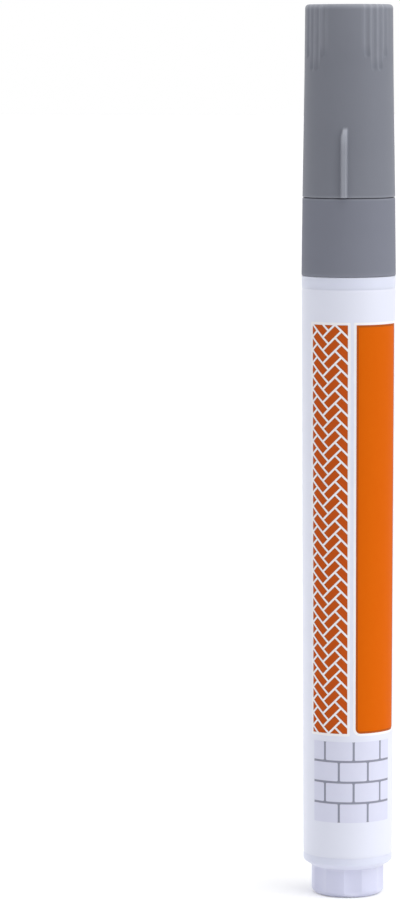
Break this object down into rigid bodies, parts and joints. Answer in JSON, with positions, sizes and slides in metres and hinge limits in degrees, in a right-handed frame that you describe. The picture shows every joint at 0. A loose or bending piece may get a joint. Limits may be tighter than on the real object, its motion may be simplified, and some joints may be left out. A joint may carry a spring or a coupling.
{
  "type": "grout marker",
  "caption": "Capped felt marker for tile joints: grooved grey pull-off cap, grey collar, tapered white barrel with a printed film, narrow tail, and a pump valve behind a slant-cut nib.",
  "frame": {"origin": "centre of the tail's flat foot, on the marker's axis", "axes": "+Z along the marker's axis from the tail towards the cap, -Y towards the front of the print"},
  "size_m": [0.0148, 0.0154, 0.14],
  "materials": {
    "cap_plastic": "satin moulded grey",
    "seal_plastic": "natural soft plastic",
    "front_plastic": "satin moulded grey",
    "holder_plastic": "satin moulded white",
    "felt": "pressed yellow felt",
    "valve_plastic": "natural moulded plastic",
    "stem_plastic": "natural moulded plastic",
    "spring_steel": "drawn wire",
    "cage_plastic": "natural moulded plastic",
    "barrel_plastic": "semi-gloss white",
    "film": "glossy film with an orange and grey print",
    "ball_steel": "polished",
    "tail_plastic": "semi-gloss white"
  },
  "bodies": {
    "holder": {"barrel": "barrel_plastic", "label_sleeve": "film", "tail_plug": "tail_plastic", "front_section": "front_plastic", "nib_holder": "holder_plastic", "valve_seat": "valve_plastic", "valve_cage": "cage_plastic", "valve_spring": "spring_steel"},
    "cap": {"cap_shell": "cap_plastic", "inner_cap": "seal_plastic"},
    "nib": {"nib": "felt"},
    "valve": {"valve_stem": "stem_plastic"},
    "ball": {"mixing_ball": "ball_steel"}
  },
  "joints": [
    {"name": "cap_pull", "type": "slide", "parent": "holder", "child": "cap", "axis": [0, 0, 1], "range_m": [0, 0.035]},
    {"name": "nib_press", "type": "slide", "parent": "holder", "child": "nib", "axis": [0, 0, -1], "range_m": [0, 0.0025]},
    {"name": "valve_open", "type": "slide", "parent": "holder", "child": "valve", "axis": [0, 0, -1], "range_m": [0, 0.0025], "stiffness_N_per_m": 300, "springref_m": -0.002, "deforming": ["valve_spring"]},
    {"name": "ball_shake", "type": "slide", "parent": "holder", "child": "ball", "axis": [0, 0, 1], "range_m": [0, 0.079]}
  ],
  "couplings": [
    {"joint": "valve_open", "follows": "nib_press", "ratio": 1}
  ]
}
